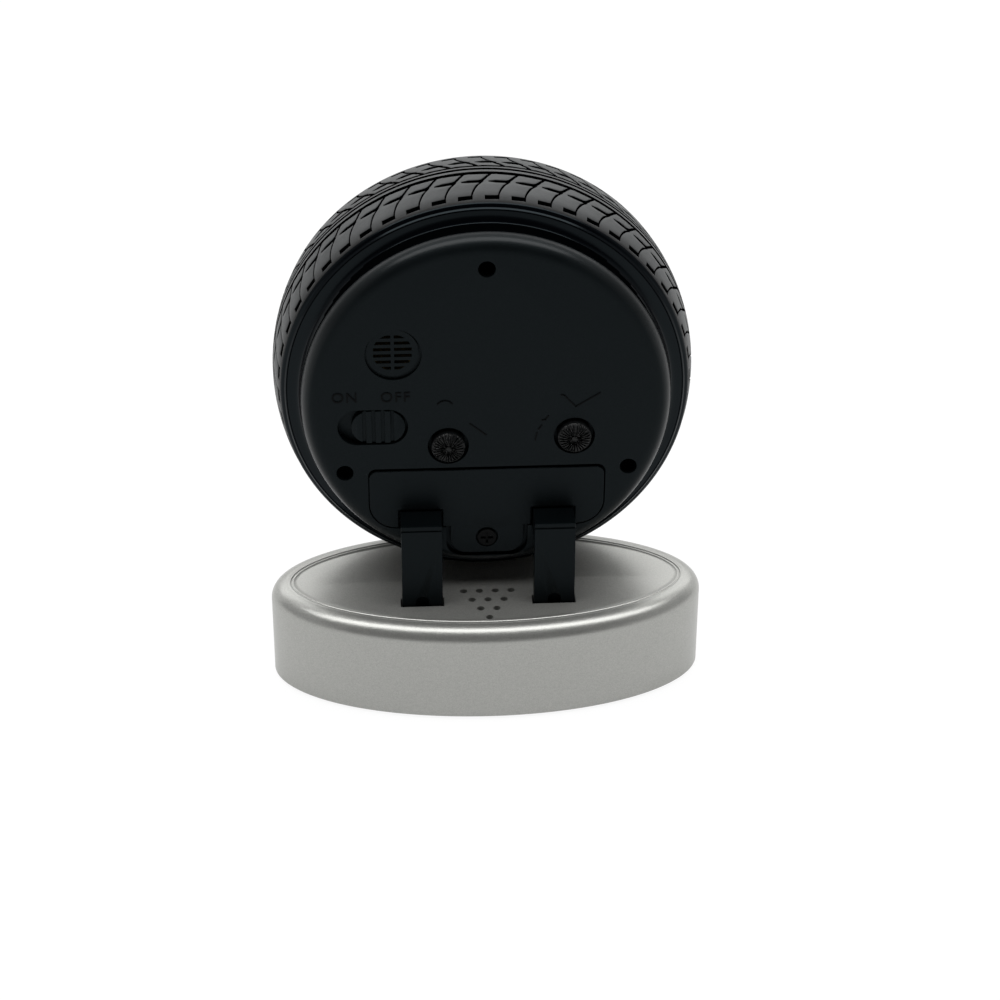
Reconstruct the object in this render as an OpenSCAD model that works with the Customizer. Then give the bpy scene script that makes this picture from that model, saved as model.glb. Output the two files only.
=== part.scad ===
// Desk clock: a clock head shaped like a car wheel, on two arms over an oval base.
// Millimetres. The clock rests on z = 0, its dial looks to -Y and its knobs to +Y.

/* [Base] */
// Width of the base
base_w = 106; // [100:1:116]
// Depth of the base
base_d = 49.4; // [47:0.2:56]
// Height of the top face of the base
base_h = 25; // [22:0.5:32]
// Rounding of the upper edge
base_edge_r = 4; // [3:0.5:5]
// Wall of the base
base_wall = 2.2; // [1.6:0.1:2.6]
// Foam pad under the base
pad_t = 1.2; // [0.8:0.1:2]
// Diameter of a sound hole
sound_d = 1.8; // [1:0.1:2.4]
// Distance between sound holes
sound_pitch = 3.9; // [3.4:0.1:4.1]

/* [Arms] */
// Width of an arm
arm_w = 9.8; // [8:0.1:10.2]
// Thickness of the upright of an arm
arm_t = 3; // [2.6:0.1:3.4]
// Distance of an arm from the middle
arm_x = 16; // [15.6:0.1:16.4]
// Play round an arm in its slot
arm_gap = 0.4; // [0.2:0.05:0.5]

/* [Tyre] */
// Outer radius of the tyre
tyre_r = 50.9; // [49:0.1:54]
// Half the width of the tyre
tyre_half = 15; // [12.6:0.1:15.4]
// Tread pitches round the tyre
tread_n = 50; // [40:1:56]
// Depth of the tread grooves
tread_depth = 1.5; // [0.8:0.1:2]
// Fall of the tread from its middle to 10 mm out
tyre_crown = 1.04; // [0.4:0.02:1.2]
// Gap between tyre and base
tyre_gap = 0.3; // [0.2:0.05:1]
// Depth of the tyre's seat in the base
tyre_seat = 1; // [0:0.1:1.2]

/* [Head] */
// Radius of the rear cover
cover_r = 43.9; // [43:0.1:44.5]
// Rounding of the rim of the cover
cover_edge_r = 4; // [2:0.1:4.4]
// Diameter of the setting knobs
knob_d = 7.9; // [6.5:0.1:8.2]
// Ribs on a setting knob
knob_ribs = 28; // [16:2:32]
// Travel of the alarm switch
switch_travel = 2.6; // [1.5:0.1:2.6]
// Diameter of the battery
battery_d = 14.2; // [13.6:0.1:14.4]
// Length of the battery without its nub
battery_l = 49; // [47:0.1:49.6]
// Play round the battery door
door_gap = 0.25; // [0.15:0.05:0.4]
// Length of the minute hand
minute_len = 30; // [24:0.5:34]
// Length of the hour hand
hour_len = 21; // [16:0.5:24]

/* [Gears] */
// Running clearance of arbors and tubes
run_gap = 0.06; // [0.03:0.01:0.09]
// Teeth of the cannon pinion
cannon_z = 12; // [12:1:12]
// Teeth of the motion wheel
motion_z = 36; // [36:1:36]

/* [Hidden] */
$fn = 64;
eps = 0.05;

// place of the head
tyre_y = -15.7;
head_z = base_h + tyre_gap + tyre_r - tyre_seat;
// depths along the head axis, from the middle of the tyre to the rear
cover_w = 20.2;
plate_t = 2;
inner_w = cover_w - plate_t;
cover_lap = 1.8;
case_wall = 1;
case_r = cover_r - cover_lap;
case_in = case_r - case_wall;
case_end = tyre_half + 0.1;
case_front = 1.8 - tyre_half;
dial_w = -4.4;
dial_t = 1;
ledge_w = -2.2;
// half axes of the base's oval and the points it is drawn with
oval_a = base_w / 2;
oval_b = base_d / 2;
oval_n = 72;
shell_foot = 0.4;
deck_t = 2.2;
plate_z = pad_t;
base_plate_t = 2;
post_x = 38;
post_y = 6.5;
speaker_y = 11.9;
speaker_r = 8.8;
// arms
arm_rear = 27.7;
arm_top = -27.9;
arm_low = 12.5;
socket_low = 14;
tenon_v0 = -33.3;
tenon_v1 = -29;
tenon_w = 16.95;
arm_screw_v = -31.4;
// rear cover
side_screw = pol(cover_r - 6.065, -26.36);
cover_screw_pts = [[0, cover_r - 7.7], [-side_screw[0], side_screw[1]], side_screw];
grille_c = [-22, 15.2];
grille_rise = 0.65;
grille_r = 6.15;
// the pocket round the grille is set lower than the grille
pocket_r = 6.65;
pocket_drop = 0.5;
slit_pitch = 1.63;
// seat and height of the heads of the cover's screws
screw_seat = case_end + 0.9;
screw_head = 1.3;
slot_c = [-27, -4.5];
slot_l = 16.7;
slot_h = 9.4;
slider_l = 12.65;
slider_h = 8.5;
slider_u = slot_c[0] + switch_travel / 2;
alarm_c = [-9.2, -10];
time_c = [20.8, -8.05];
well_r = 4.9;
well_floor = inner_w - 1.2;
// battery, its bay and the door over them
batt_v = -23.7;
batt_w = 9.4;
batt_u1 = battery_l / 2 + 0.1;
batt_u0 = batt_u1 - battery_l;
nub_l = 1.2;
contact_t = 1.25;
bay_u = batt_u1 + nub_l + contact_t + 0.15;
bay_v0 = batt_v - battery_d / 2 - 0.4;
bay_v1 = batt_v + battery_d / 2 + 0.3;
bay_w = batt_w - battery_d / 2 - 0.3;
door_u = bay_u + 1;
door_v0 = bay_v0 - 1.2;
door_v1 = bay_v1 + 0.1;
door_t = 1.8;
door_slit = 0.5;
tongue_play = 0.7;
tongue_u = 8.9;
tongue_v = door_v0 - 7.6;
screw_v = tongue_v + 4.3;
// movement layers, counted to the rear from the front plate
w0 = ledge_w;
front_t = 1.4;
mid_w = w0 + 8.3;
mid_t = 1;
rear_w = w0 + 16.6;
rear_t = 1.4;
pillars = [[20, 16], [-19.3, 2.4], [2.2, -13.2], [-8, 22]];
pillar_r = 1.9;
pillar_top_r = 1.5;
ears = [40, 140, 220, 320];
ear_r = case_in - 4;
// gear train
time_d = norm(time_c);
time_a = atan2(time_c[1], time_c[0]);
time_z = 28;
m_set = 2 * time_d / (cannon_z + 2 * motion_z + time_z);
motion_d = m_set * (cannon_z + motion_z) / 2;
motion_c = motion_d * [cos(time_a), sin(time_a)];
motion_pin_z = 10;
hour_z = 40;
m_hour = 2 * motion_d / (motion_pin_z + hour_z);
alarm_a = atan2(-alarm_c[1], -alarm_c[0]);
alarm_set_z = 30;
alarm_z = 42;
m_alarm = 2 * norm(alarm_c) / (alarm_set_z + alarm_z);
pin_z = 8;
third_z = 60;
centre_z = 64;
second_z = 40;
inter_z = 48;
third_d = 12.24;
m_third = 2 * third_d / (pin_z + third_z);
m_centre = 2 * third_d / (pin_z + centre_z);
third_a = 60;
third_c = third_d * [cos(third_a), sin(third_a)];
m_run = 0.35;
m_rotor = 0.3;
inter_d = m_run * (pin_z + second_z) / 2;
inter_a = 150;
inter_c = inter_d * [cos(inter_a), sin(inter_a)];
rotor_d = m_rotor * (pin_z + inter_z) / 2;
rotor_a = 120;
rotor_c = inter_c + rotor_d * [cos(rotor_a), sin(rotor_a)];
arbor_r = 0.6;
cannon_r = 1.5;
hour_tube_r = 2.4;
alarm_tube_r = 3.3;
hub_r = 4.4;
shaft_r = 1.5;
// front ends of the tubes and the hands on them
alarm_hand_w = -6.3;
hour_hand_w = -7.8;
minute_hand_w = -9.3;
second_hand_w = -10.6;
hand_t = 0.7;

black = [0.09, 0.1, 0.1];
silver = [0.66, 0.67, 0.68];
brass = [0.8, 0.66, 0.3];
steel = [0.6, 0.61, 0.63];
cream = [0.88, 0.86, 0.78];

// tooth angle of the second gear that lets it mesh with the first, seen along angle th
function mesh(z1, p1, th, z2) = th + 180 + (360 / z2) * (0.5 - (p1 - th) * z1 / 360);
function pol(r, a) = [r * cos(a), r * sin(a)];
// half angles of a tooth at root, pitch line and tip
function tooth(z, m) = let (r = z * m / 2, ro = r + 0.8 * m, rr = r - 1.25 * m)
  [[rr, -(z <= 14 ? 72 : 90) / z], [r, -73.8 / z], [ro, -27 / z * r / ro],
   [ro, 27 / z * r / ro], [r, 73.8 / z], [rr, (z <= 14 ? 72 : 90) / z]];
function gear_pts(z, m, ph) = [for (i = [0:z - 1]) for (t = tooth(z, m)) pol(t[0], ph + i * 360 / z + t[1])];

module gear(z, m, ph, from, to, bore = 0) {
  translate([0, 0, from]) linear_extrude(to - from) difference() {
    polygon(gear_pts(z, m, ph));
    if (bore > 0) circle(bore);
  }
}
module rod(r, from, to) translate([0, 0, from]) cylinder(r = r, h = to - from);
module tube(r, bore, from, to) {
  translate([0, 0, from]) linear_extrude(to - from) difference() {
    circle(r);
    circle(bore);
  }
}
module at(p) translate([p[0], p[1], 0]) children();
// head frame: x to the right as seen from the rear, y up, z to the rear
module in_head() translate([0, tyre_y, head_z]) rotate([90, 0, 180]) children();
module plate(from, to) translate([0, 0, from]) linear_extrude(to - from) children();
module box(u0, u1, v0, v1, d0, d1) translate([u0, v0, d0]) cube([u1 - u0, v1 - v0, d1 - d0]);
module rounded(x0, x1, y0, y1, r) {
  translate([x0 + r, y0]) square([x1 - x0 - 2 * r, y1 - y0]);
  translate([x0, y0 + r]) square([x1 - x0, y1 - y0 - 2 * r]);
  for (x = [x0 + r, x1 - r]) for (y = [y0 + r, y1 - r]) translate([x, y]) circle(r);
}
module obround(l, h) {
  square([l - h, h], center = true);
  for (s = [-1, 1]) translate([s * (l - h) / 2, 0]) circle(h / 2);
}
// points of the base's oval plan, set in by d from its edge
function oval_ring(d) = [for (i = [0:oval_n - 1])
  let (t = 360 * i / oval_n, n = [cos(t) / oval_a, sin(t) / oval_b])
  [oval_a * cos(t), oval_b * sin(t)] - d * n / norm(n)];
module oval(d) polygon(oval_ring(d));
function arc(cx, cy, r, a0, a1, n) = [for (i = [0:n]) [cx, cy] + pol(r, a0 + (a1 - a0) * i / n)];
// how far in and how high the shell runs, from under the deck round the edge to the ring on top
function shell_path(e, f) = concat([[e + 2.4, base_h - deck_t]], arc(e, base_h - e, f, 90, 180, 3),
  [[base_wall, shell_foot], [0, shell_foot]], arc(e, base_h - e, e, 180, 90, 6),
  [[e + 0.4, base_h], [e + 0.5, base_h - 0.35], [e + 0.8, base_h - 0.35], [e + 0.9, base_h]]);
module base_hull() {
  path = shell_path(base_edge_r, base_edge_r - base_wall);
  m = len(path);
  pts = [for (p = path) each [for (q = oval_ring(p[0])) [q[0], q[1], p[1]]]];
  sides = [for (j = [0:m - 2]) for (i = [0:oval_n - 1]) let (k = (i + 1) % oval_n)
    let (p = j * oval_n, q = p + oval_n) each [[p + i, q + i, q + k], [p + i, q + k, p + k]]];
  under = [for (i = [0:oval_n - 1]) i];
  deck = [for (i = [oval_n - 1:-1:0]) (m - 1) * oval_n + i];
  polyhedron(pts, concat(sides, [under, deck]), 4);
}
module arm_slot(grow) {
  for (s = [-1, 1]) translate([s * arm_x, tyre_y + arm_rear - arm_t / 2])
    square([arm_w + 2 * arm_gap + 2 * grow, arm_t + 2 * arm_gap + 2 * grow], center = true);
}
module sound_holes() {
  for (i = [0:3]) for (k = [0:3 - i])
    translate([(k - (3 - i) / 2) * sound_pitch, speaker_y + (i - 1.5) * sound_pitch]) circle(sound_d / 2);
}
module base_posts(r) for (x = [-post_x, post_x]) for (y = [-post_y, post_y]) translate([x, y]) circle(r);

module base_shell() color(silver) difference() {
  union() {
    base_hull();
    plate(plate_z + base_plate_t, base_h - 1) base_posts(3);
    plate(socket_low, base_h - 1) difference() {
      arm_slot(1.5);
      arm_slot(0);
    }
    plate(base_h - deck_t - 1.2, base_h - 1) translate([0, speaker_y]) difference() {
      circle(speaker_r + 1.2);
      circle(speaker_r + 0.2);
    }
  }
  plate(0, base_h + 1) arm_slot(0);
  plate(base_h - 4, base_h + 1) sound_holes();
  plate(0, plate_z + base_plate_t + 12) base_posts(1.1);
  // seat of the tyre
  in_head() rod(tyre_r + tyre_gap, -tyre_half - 1, tyre_half + 1, $fn = 180);
}
module base_plate() color(black) {
  difference() {
    plate(plate_z, plate_z + base_plate_t) oval(base_wall + 0.2);
    plate(0, 10) base_posts(1.4);
    plate(0, plate_z + 1.2) base_posts(2.5);
  }
  for (x = [-17, 17]) translate([x, -8, plate_z + base_plate_t - eps]) cylinder(r = 1.6, h = 3 + eps);
}
module base_pad() color([0.2, 0.2, 0.2]) plate(0, pad_t) oval(base_wall + 0.3);
module base_screws() color(steel) for (x = [-post_x, post_x]) for (y = [-post_y, post_y]) translate([x, y, 0]) {
  rod(2.2, plate_z, plate_z + 1.2);
  rod(1.05, plate_z + 1, plate_z + 10);
}
module speaker_frame() color(steel) translate([0, speaker_y, base_h - deck_t]) difference() {
  union() {
    rod(speaker_r, -3, 0);
    rod(6, -5, -2.9);
  }
  rod(speaker_r - 0.8, -2.2, 1);
  rod(4.2, -6, 0);
}
module speaker_cone() color(black) translate([0, speaker_y, base_h - deck_t]) rotate_extrude()
  polygon([[0, -1.3], [3, -1.8], [3, -2.1], [7.8, -0.9], [7.8, -0.6], [3, -1.5], [0, -1]]);
module speaker_magnet() color(steel) translate([0, speaker_y, base_h - deck_t]) rod(4.1, -5, -2.3);
module sound_board() color([0.1, 0.35, 0.2]) {
  z = plate_z + base_plate_t + 3;
  translate([-20, -14, z]) cube([40, 13, 1]);
  translate([-4, -10, z + 1 - eps]) cylinder(r = 3, h = 1.2);
  translate([9, -11, z + 1 - eps]) cube([5, 4, 2]);
}
module arm(s) color(black) in_head() difference() {
  union() {
    box(s * arm_x - arm_w / 2, s * arm_x + arm_w / 2, tenon_v0, tenon_v1, tenon_w, cover_w + 1);
    box(s * arm_x - arm_w / 2, s * arm_x + arm_w / 2, tenon_v0 - 0.3, arm_top, cover_w + 0.1, arm_rear);
    box(s * arm_x - arm_w / 2, s * arm_x + arm_w / 2, arm_low - head_z, arm_top, arm_rear - arm_t, arm_rear);
    box(s * arm_x - arm_w / 2, s * arm_x + arm_w / 2, arm_low - head_z, socket_low - 0.15 - head_z,
      arm_rear - arm_t - arm_gap - 0.7, arm_rear - arm_t + eps);
  }
  // line under the upper lip
  box(s * arm_x - arm_w, s * arm_x + arm_w, arm_top - 1.4, arm_top - 1, arm_rear - 0.35, arm_rear + 1);
  // arched latch window over the slot
  translate([s * arm_x, base_h + 1 - head_z, arm_rear - 1.4]) cylinder(r = 1.6, h = 3);
  box(s * arm_x - 1.6, s * arm_x + 1.6, base_h - 5 - head_z, base_h + 1 - head_z, arm_rear - 1.4, arm_rear + 1);
  translate([s * arm_x, arm_screw_v, tenon_w - 1]) cylinder(r = 1.1, h = 8);
}
module left_arm() arm(-1);
module right_arm() arm(1);
module arm_screws() color(steel) in_head() for (s = [-1, 1]) translate([s * arm_x, arm_screw_v, 0]) {
  rod(1.9, tenon_w - 2.55, tenon_w - 1.15);
  rod(1.05, tenon_w - 1.3, tenon_w + 6);
}

// radius of the tread at a depth w along the axis; its middle lies in front of the tyre's
crown_w = -3.6;
function crown(w) = tyre_r - tyre_crown * pow((w - crown_w) / 10, 2);
// depth of a share of the tread's half width, on the rear side (s = 1) or the front side (s = -1)
function tread_at(s, share) = crown_w + s * share * (s > 0 ? rear_tread : front_tread);
rear_tread = tyre_half - 0.6;
front_tread = tyre_half - 5.1;
rib_share = 0.155;
sipe_share = 0.437;
dash_share = 0.87;
// groove round the tread at depth w
function groove(w) = [[crown(w + 0.25), w + 0.25], [crown(w + 0.2) - tread_depth, w + 0.2],
  [crown(w - 0.2) - tread_depth, w - 0.2], [crown(w - 0.25), w - 0.25]];
// rear and front shoulders with their bead lines and walls, as far as the case
function rear_wall(h) = [[case_r + 0.1, h - 0.3], [case_r + 0.4, h], [case_r + 1.1, h], [cover_r + 0.4, h - 1.8],
  [tyre_r - 3.8, h - 3.15], [tyre_r - 3.65, h - 3.05], [tyre_r - 3.3, h - 3.1], [tyre_r - 3.1, h - 3.55],
  [tyre_r - 2.4, h - 3.9], [crown(tread_at(1, 1)), tread_at(1, 1)]];
function front_wall(h) = [[crown(tread_at(-1, 1)), tread_at(-1, 1)], [tyre_r - 2.1, 0.6 - h], [tyre_r - 3.3, 0.4 - h],
  [tyre_r - 3.5, 0.15 - h], [tyre_r - 3.8, 0.15 - h], [tyre_r - 4, 0.4 - h], [cover_r + 0.4, -h],
  [case_r + 0.4, -h], [case_r + 0.1, 0.3 - h]];
module tyre() color([0.16, 0.16, 0.17]) in_head() difference() {
  rotate_extrude($fn = 100) polygon(concat(rear_wall(tyre_half), groove(tread_at(1, sipe_share)),
    groove(tread_at(1, rib_share)), groove(crown_w), groove(tread_at(-1, rib_share)),
    groove(tread_at(-1, sipe_share)), front_wall(tyre_half)));
  // lateral grooves and short dashes on both shoulders
  for (s = [-1, 1]) for (i = [0:tread_n - 1]) rotate(360 * (i + (s + 1) / 4) / tread_n) {
    mid = tread_at(s, (rib_share + dash_share) / 2);
    translate([crown(mid), 0, mid]) rotate([s * 24, 0, 0])
      cube([2 * tread_depth, 0.7, abs(tread_at(s, dash_share) - tread_at(s, rib_share))], center = true);
    rotate(180 / tread_n) translate([crown(tread_at(s, dash_share)), 0, tread_at(s, dash_share)])
      cube([2 * tread_depth, 3.4, 1.3], center = true);
  }
}
module front_case() color(black) in_head() difference() {
  union() {
    rotate_extrude() polygon([[case_in, case_front], [case_r, case_front], [case_r, case_end],
      [case_in, case_end], [case_in, ledge_w],
      [case_in - 5.4, ledge_w], [case_in - 5.4, dial_w + dial_t], [case_in, dial_w + dial_t]]);
    intersection() {
      for (p = cover_screw_pts) at(p) rod(p[0] == 0 ? 4.6 : 3.4, ledge_w - 0.5, case_end);
      rod(case_r - 0.2, ledge_w - 1, case_end + 1);
    }
  }
  for (p = cover_screw_pts) at(p) rod(1.1, 4, case_end + 1);
  for (a = ears) at(pol(ear_r, a)) rod(0.85, dial_w, ledge_w + 1);
}
module door_plan(g) {
  difference() {
    union() {
      translate([0, door_v0 - g]) intersection() {
        rounded(-door_u - g, door_u + g, 0, 30, 6.5 + g);
        translate([-40, 0]) square([80, door_v1 - door_v0 + 2 * g - 3]);
      }
      rounded(-door_u - g, door_u + g, door_v1 - 8, door_v1 + (g > 0 ? g : -door_slit), 2);
      let (t = g > 0 ? g + tongue_play : 0) rounded(-tongue_u - t, tongue_u + t, tongue_v - t, door_v0 + 6, 4);
    }
    for (s = [-1, 1]) if (g == 0) translate([s * arm_x - arm_w / 2 - arm_gap, door_v0 - 3])
      square([arm_w + 2 * arm_gap, arm_top - door_v0 + 3.3]);
  }
}
module grille_slots() intersection() {
  circle(4.7);
  for (i = [0:5]) for (s = [-1, 1]) translate([s * 2.45, (i - 2.5) * slit_pitch])
    square([4.1, 0.8], center = true);
}
module rear_cover() color(black) in_head() difference() {
  union() {
    rotate_extrude($fn = 120) polygon(concat([[0, inner_w], [case_in - 0.7, inner_w], [case_in - 0.7, case_end],
      [cover_r, case_end]], arc(cover_r - cover_edge_r, cover_w - cover_edge_r, cover_edge_r, 0, 90, 8),
      [[0, cover_w]]));
    for (p = cover_screw_pts) at(p) rod(3.4, case_end + 0.1, inner_w + 1);
    at(grille_c) rod(grille_r, inner_w + 1, cover_w + grille_rise);
    intersection() {
      difference() {
        box(-bay_u - 1.2, bay_u + 1.2, bay_v0 - 1, bay_v1 + 0.9, bay_w - 0.8, inner_w + 0.5);
        box(-bay_u, bay_u, bay_v0, bay_v1, bay_w, cover_w);
      }
      rod(case_in - 0.3, 0, cover_w);
    }
    for (s = [-1, 1]) translate([s * arm_x, 0, 0])
      box(-6.2, 6.2, tenon_v0 - 1.2, tenon_v1 + 0.9, tenon_w - 1.1, inner_w + 0.5);
    for (p = [alarm_c, time_c]) at(p) rod(well_r + 0.9, well_floor - 0.6, inner_w + 0.5);
    box(-tongue_u - 1.4, tongue_u + 1.4, tongue_v - 1, bay_v0 - 0.5, inner_w - 1.6, inner_w + 0.5);
    translate([0, screw_v, 0]) rod(3.2, 11, inner_w);
    for (v = [slot_c[1] - 7.7, slot_c[1] + 7.7]) translate([slot_c[0], v, 0]) rod(1.5, 16.6, inner_w + 0.5);
  }
  for (p = cover_screw_pts) at(p) {
    rod(2.05, screw_seat, cover_w + 1);
    rod(1.35, case_end - 1, screw_seat + 1);
  }
  at(grille_c) plate(inner_w - 1, cover_w + 1) grille_slots();
  at(grille_c) difference() {
    translate([0.15, -pocket_drop, 0]) rod(pocket_r, cover_w - 0.8, cover_w + 1);
    rod(grille_r, inner_w, cover_w + 2);
  }
  at(slot_c) plate(inner_w - 0.1, cover_w + 1) obround(slot_l, slot_h);
  for (p = [alarm_c, time_c]) at(p) {
    rod(well_r, well_floor, cover_w + 1);
    rod(shaft_r + 0.3, well_floor - 1, cover_w);
  }
  plate(inner_w, cover_w + 1) door_plan(door_gap);
  plate(inner_w - 0.4, cover_w) intersection() {
    door_plan(door_gap);
    translate([-bay_u, bay_v0]) square([2 * bay_u, bay_v1 - bay_v0]);
  }
  for (s = [-1, 1]) {
    translate([s * arm_x, 0, 0])
      box(-arm_w / 2 - 0.1, arm_w / 2 + 0.1, tenon_v0 - 0.1, tenon_v1 + 0.1, tenon_w - 0.1, cover_w + 1);
    translate([s * arm_x, arm_screw_v, 0]) {
      rod(1.35, 10, cover_w);
      rod(2.3, 8, tenon_w - 1.1);
    }
  }
  translate([0, screw_v, 0]) rod(1.55, 9, cover_w);
}
module cover_screws() color(steel) in_head() for (p = cover_screw_pts) at(p) difference() {
  union() {
    rod(1.7, screw_seat, screw_seat + screw_head);
    rod(1.05, 6, screw_seat + 0.1);
  }
  for (a = [0, 90]) rotate(a) box(-1.2, 1.2, -0.25, 0.25, screw_seat + 0.6, screw_seat + 2);
}
// outer lip of the bezel, laid against the front of the tyre
lip_w = -tyre_half - 0.05;
module bezel() color(silver) in_head() rotate_extrude($fn = 120) polygon([[case_r - 4.2, case_front - 1.6],
  [case_r - 0.5, case_front - 1.6], [case_r - 0.5, case_front], [case_r, case_front], [case_r, lip_w],
  [case_r + 1.7, lip_w], [case_r + 1.7, lip_w - 0.65], [case_r + 1, lip_w - 1.35], [case_r - 0.6, lip_w - 1.55],
  [case_r - 2.2, lip_w - 1.25], [case_r - 4.2, case_front - 2.2]]);
module lens() color([0.8, 0.9, 0.95, 0.3]) in_head() rod(case_r - 0.6, case_front - 1.55, case_front);
module dial() color(black) in_head() tube(case_in - 1.2, hub_r + 0.2, dial_w, dial_w + dial_t);

module front_plate() color(cream) in_head() difference() {
  union() {
    plate(w0, w0 + front_t) {
      rounded(-23, 27, -15, 26, 4);
      for (a = ears) rotate(a) translate([10, -2.3]) square([ear_r - 10, 4.6]);
      for (a = ears) at(pol(ear_r, a)) circle(2.6);
    }
    rod(hub_r, -5, w0 + 0.5);
    for (p = pillars) at(p) {
      rod(pillar_r, w0 + 1, mid_w);
      rod(pillar_top_r, mid_w - 1, rear_w);
    }
    at(motion_c) rod(0.8, w0 + 1, w0 + 6.5);
  }
  rod(alarm_tube_r + run_gap, -6, w0 + 2);
  for (p = pillars) at(p) rod(0.8, rear_w - 6, rear_w + 1);
  for (a = ears) at(pol(ear_r, a)) rod(1.1, w0 - 1, w0 + 3);
  for (p = [alarm_c, time_c]) at(p) rod(shaft_r + run_gap, w0 - 1, w0 + 3);
  at(third_c) rod(arbor_r + run_gap, w0 - 1, w0 + 3);
}
module middle_plate() color(cream) in_head() plate(mid_w, mid_w + mid_t) difference() {
  union() {
    rounded(-21.8, 22.5, 0.2, 25, 2.5);
    rounded(-5.5, 5.5, -15.3, 4, 2);
  }
  for (p = pillars) at(p) circle(pillar_top_r + 0.05);
  circle(1.2);
  at(third_c) circle(1.3);
  for (p = [inter_c, rotor_c]) at(p) circle(arbor_r + run_gap);
}
module rear_plate() color(cream) in_head() plate(rear_w, rear_w + rear_t) difference() {
  rounded(-21.6, 27, -15, 25.5, 2.2);
  for (p = pillars) at(p) circle(1.1);
  circle(arbor_r + run_gap);
  for (p = [third_c, inter_c, rotor_c]) at(p) circle(arbor_r + run_gap);
  for (p = [alarm_c, time_c]) at(p) circle(shaft_r + run_gap);
}
module plate_screws() color(steel) in_head() for (p = pillars) at(p) {
  rod(1.5, rear_w + rear_t, rear_w + rear_t + 0.9);
  rod(0.75, rear_w - 4, rear_w + rear_t + 0.1);
}
module ear_screws() color(steel) in_head() for (a = ears) at(pol(ear_r, a)) {
  rod(1.7, w0 + front_t, w0 + front_t + 1);
  rod(0.8, ledge_w - 1.1, w0 + front_t + 0.1);
}
module stator() color(steel) in_head() plate(w0 + 14.6, w0 + 15.6) difference() {
  translate([-20.4, 5.4]) square([rotor_c[0] + 24, 14.2]);
  translate([-18.4, 7]) square([1.4, 11]);
  at(rotor_c) circle(3);
}
module coil() color([0.7, 0.35, 0.15]) in_head() difference() {
  union() {
    box(-21.3, -17.6, 7.4, 17.6, w0 + 13.9, w0 + 16.3);
    for (v = [7.1, 17.1]) box(-21.5, -17.3, v, v + 0.7, w0 + 13.7, w0 + 16.5);
  }
  box(-20.5, -18.3, 5, 20, w0 + 14.55, w0 + 15.65);
}
module circuit_board() color([0.1, 0.35, 0.2]) in_head() {
  box(-5, 17, -3, 24, rear_w + rear_t, rear_w + rear_t + 0.8);
  translate([3, 12, 0]) rod(3, rear_w + rear_t + 0.5, rear_w + rear_t + 1.5);
}
module quartz_crystal() color(steel) in_head() translate([9, 4, rear_w + rear_t + 1.55]) rotate([-90, 0, 0])
  cylinder(r = 0.7, h = 5.5);
module buzzer() color(brass) in_head() at(grille_c) {
  rod(6.4, inner_w - 1.9, inner_w - 0.1);
}
module switch_body() color(steel) in_head() at(slot_c) difference() {
  union() {
    box(-5, 5, -3.5, 3.5, 12.6, 16.6);
    box(-2, 2, -9.2, 9.2, 15.4, 16.6);
  }
  box(-3.4, 3.4, -1.3, 1.3, 15.5, 17);
}
module switch_slider() color(black) in_head() translate([slider_u, slot_c[1], 0]) difference() {
  union() {
    plate(17, cover_w - 0.1) obround(slider_l, slider_h);
    box(-10, 10, -5.6, 5.6, 16.9, inner_w - 0.3);
    rod(0.8, 15.8, 17.2);
  }
  for (i = [-1.5:1:1.5]) box(i * 2.2 - 0.45, i * 2.2 + 0.45, -5, 5, cover_w - 0.7, cover_w + 1);
}
module battery() color([0.75, 0.2, 0.15]) in_head() translate([0, batt_v, batt_w]) rotate([0, 90, 0]) {
  rod(battery_d / 2, batt_u0, batt_u1);
  rod(2.7, batt_u1 - 1, batt_u1 + nub_l);
}
module battery_contact() color(steel) in_head()
  box(bay_u - contact_t - 0.05, bay_u - 0.05, batt_v - 4, batt_v + 4, batt_w - 5, batt_w + 5);
// conical spring behind the flat end of the battery
spring_n = 54;
spring_k = 6;
function spring_at(i) = let (t = i / spring_n) [4.4 - 1.8 * t, 1080 * t, -bay_u + 0.5 + (bay_u + batt_u0 - 1) * t];
function spring_pts() = [for (i = [0:spring_n]) for (k = [0:spring_k - 1])
  let (p = spring_at(i), a = 360 * k / spring_k)
  [(p[0] + 0.35 * cos(a)) * cos(p[1]), (p[0] + 0.35 * cos(a)) * sin(p[1]), p[2] + 0.35 * sin(a)]];
function spring_faces() = concat([[for (k = [spring_k - 1:-1:0]) k]],
  [for (i = [0:spring_n - 1]) for (k = [0:spring_k - 1]) let (n = (k + 1) % spring_k)
    [i * spring_k + k, i * spring_k + n, (i + 1) * spring_k + n, (i + 1) * spring_k + k]],
  [[for (k = [0:spring_k - 1]) spring_n * spring_k + k]]);
module battery_spring() color(steel) in_head() translate([0, batt_v, batt_w]) rotate([0, 90, 0])
  polyhedron(spring_pts(), spring_faces(), 4);
module battery_door() color(black) in_head() difference() {
  plate(cover_w - door_t, cover_w) door_plan(0);
  translate([0, screw_v, 0]) {
    rod(1.55, 15, cover_w + 1);
    rod(2.6, cover_w - 0.9, cover_w + 1);
  }
}
module door_screw() color(steel) in_head() translate([0, screw_v, 0]) difference() {
  union() {
    rod(2.25, cover_w - 0.85, cover_w + 0.25);
    rod(1.2, 12, cover_w - 0.7);
  }
  for (a = [0, 90]) rotate(a) box(-1.5, 1.5, -0.3, 0.3, cover_w - 0.4, cover_w + 1);
}

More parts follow.
